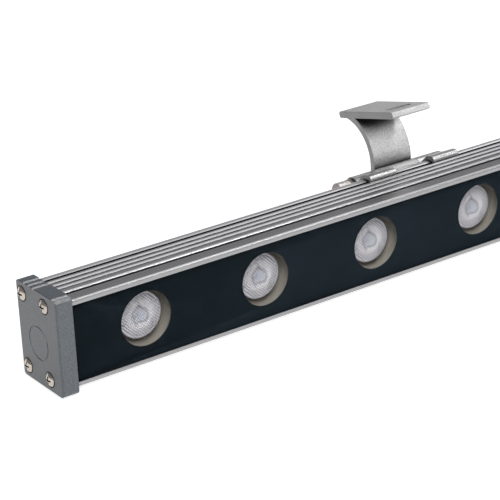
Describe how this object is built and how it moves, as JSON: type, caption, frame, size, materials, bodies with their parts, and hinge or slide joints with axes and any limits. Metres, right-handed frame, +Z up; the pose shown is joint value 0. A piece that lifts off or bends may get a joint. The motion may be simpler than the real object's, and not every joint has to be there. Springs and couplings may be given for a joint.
{
  "type": "linear floodlight",
  "caption": "Long slim LED floodlight with an extruded body, a masked front glass over round lenses, cast end caps and sliding hinged brackets.",
  "frame": {"origin": "middle of the left end cap's underside, where the lamp stands", "axes": "+X along the lamp to its right end, +Y to its back, +Z up; the glass front faces -Y"},
  "size_m": [1.0207, 0.0882, 0.0917],
  "materials": {
    "anodised_body": "natural anodised, satin, fine lengthwise lines",
    "cap_coat": "fine-textured grey powder coat",
    "cap_gasket": "soft silicone",
    "stainless_screw": "stainless, turned",
    "stainless_bolt": "stainless, turned",
    "dark_steel": "dark steel",
    "zinc_screw": "zinc plated",
    "clear_glass": "clear tempered glass",
    "black_mask": "black",
    "black_rubber": "rubber",
    "pale_tray": "pale matte",
    "white_board": "white solder mask on an aluminium core",
    "white_plastic": "plain",
    "led_yellow": "phosphor under a clear dome",
    "lens_plastic": "clear acrylic with a beaded face",
    "green_board": "green solder mask",
    "dark_ferrite": "ferrite and enamelled wire",
    "black_plastic": "black nylon",
    "green_plastic": "green",
    "wire_rubber": "one red wire and one black wire",
    "bracket_aluminium": "sandblasted"
  },
  "bodies": {
    "lamp": {"housing": "anodised_body", "left_end_cap": "cap_coat", "right_end_cap": "cap_coat", "left_cap_gasket": "cap_gasket", "right_cap_gasket": "cap_gasket", "left_cap_screws": "stainless_screw", "right_cap_screws": "stainless_screw", "front_glass": "clear_glass", "window_mask": "black_mask", "upper_glass_seal": "black_rubber", "lower_glass_seal": "black_rubber", "reflector_tray": "pale_tray", "left_led_board": "white_board", "right_led_board": "white_board", "board_screws": "zinc_screw", "board_link": "white_plastic", "led_packages": "led_yellow", "lens_1": "lens_plastic", "lens_2": "lens_plastic", "lens_3": "lens_plastic", "lens_4": "lens_plastic", "lens_5": "lens_plastic", "lens_6": "lens_plastic", "lens_7": "lens_plastic", "lens_8": "lens_plastic", "lens_9": "lens_plastic", "lens_10": "lens_plastic", "lens_11": "lens_plastic", "lens_12": "lens_plastic", "driver_board": "green_board", "driver_spacers": "white_plastic", "driver_screws": "zinc_screw", "driver_coils": "dark_ferrite", "driver_chips": "black_plastic", "driver_terminals": "green_plastic", "led_wires": "wire_rubber", "gland_body": "black_plastic", "gland_washer": "black_rubber", "gland_seal": "black_rubber", "gland_nut": "black_plastic"},
    "left_base": {"left_bracket_base": "bracket_aluminium", "left_hinge_bolt": "stainless_bolt", "left_spring_washer": "dark_steel", "left_flat_washers": "stainless_screw", "left_lock_nut": "stainless_screw", "left_grub_screws": "dark_steel"},
    "left_arm": {"left_bracket_arm": "bracket_aluminium"},
    "right_base": {"right_bracket_base": "bracket_aluminium", "right_hinge_bolt": "stainless_bolt", "right_spring_washer": "dark_steel", "right_flat_washers": "stainless_screw", "right_lock_nut": "stainless_screw", "right_grub_screws": "dark_steel"},
    "right_arm": {"right_bracket_arm": "bracket_aluminium"}
  },
  "joints": [
    {"name": "left_bracket_slide", "type": "slide", "parent": "lamp", "child": "left_base", "axis": [1, 0, 0], "range_m": [-0.225, 0.178]},
    {"name": "left_arm_hinge", "type": "hinge", "parent": "left_base", "child": "left_arm", "pos_m": [0.268, 0.0295, 0.0453], "axis": [1, 0, 0], "range_deg": [-90, 55]},
    {"name": "right_bracket_slide", "type": "slide", "parent": "lamp", "child": "right_base", "axis": [1, 0, 0], "range_m": [-0.178, 0.225]},
    {"name": "right_arm_hinge", "type": "hinge", "parent": "right_base", "child": "right_arm", "pos_m": [0.722, 0.0295, 0.0453], "axis": [1, 0, 0], "range_deg": [-90, 55]}
  ]
}
